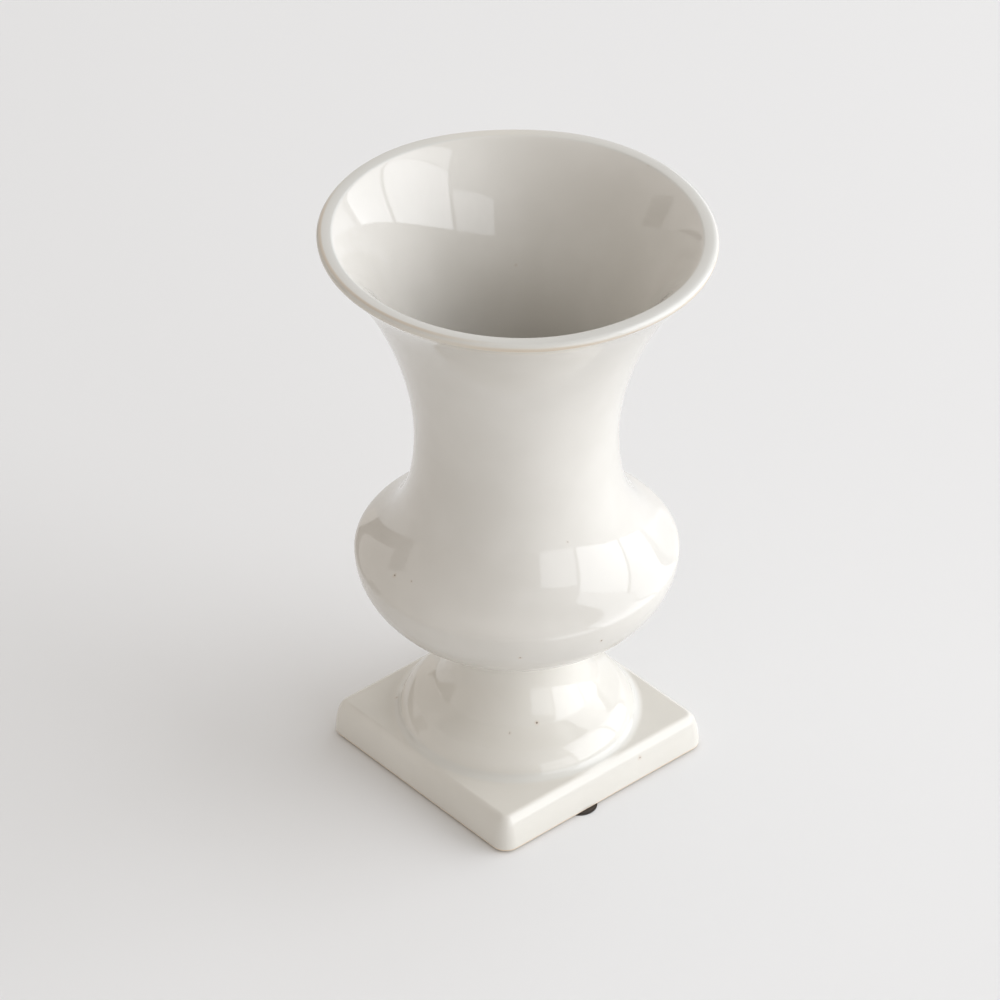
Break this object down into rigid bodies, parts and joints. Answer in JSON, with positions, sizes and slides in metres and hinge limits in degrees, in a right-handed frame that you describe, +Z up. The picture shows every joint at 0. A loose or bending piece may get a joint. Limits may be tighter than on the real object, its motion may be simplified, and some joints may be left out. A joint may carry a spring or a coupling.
{
  "type": "footed vase",
  "caption": "Footed urn vase in glossy off-white glazed ceramic: flared neck, round belly, moulded round foot and a square plinth resting on small rubber pads.",
  "frame": {"origin": "the centre of the footprint, on the plane of the pads' undersides", "axes": "+Z is up, along the vase's own axis of turning; +X and +Y point square out of two sides of the plinth, and the pad whose edge shows is on the +X side"},
  "size_m": [0.1378, 0.1378, 0.222],
  "materials": {
    "glaze": "glossy, off-white, translucent over a buff body",
    "luting_slip": "glazed over, off-white",
    "pad_rubber": "satin, near black",
    "adhesive": "matt, grey foam tape"
  },
  "bodies": {
    "root": {"bowl": "glaze", "pedestal": "glaze", "joint_slip": "luting_slip", "pad_front": "pad_rubber", "pad_right": "pad_rubber", "pad_back": "pad_rubber", "pad_left": "pad_rubber", "pad_adhesive": "adhesive"}
  },
  "joints": []
}
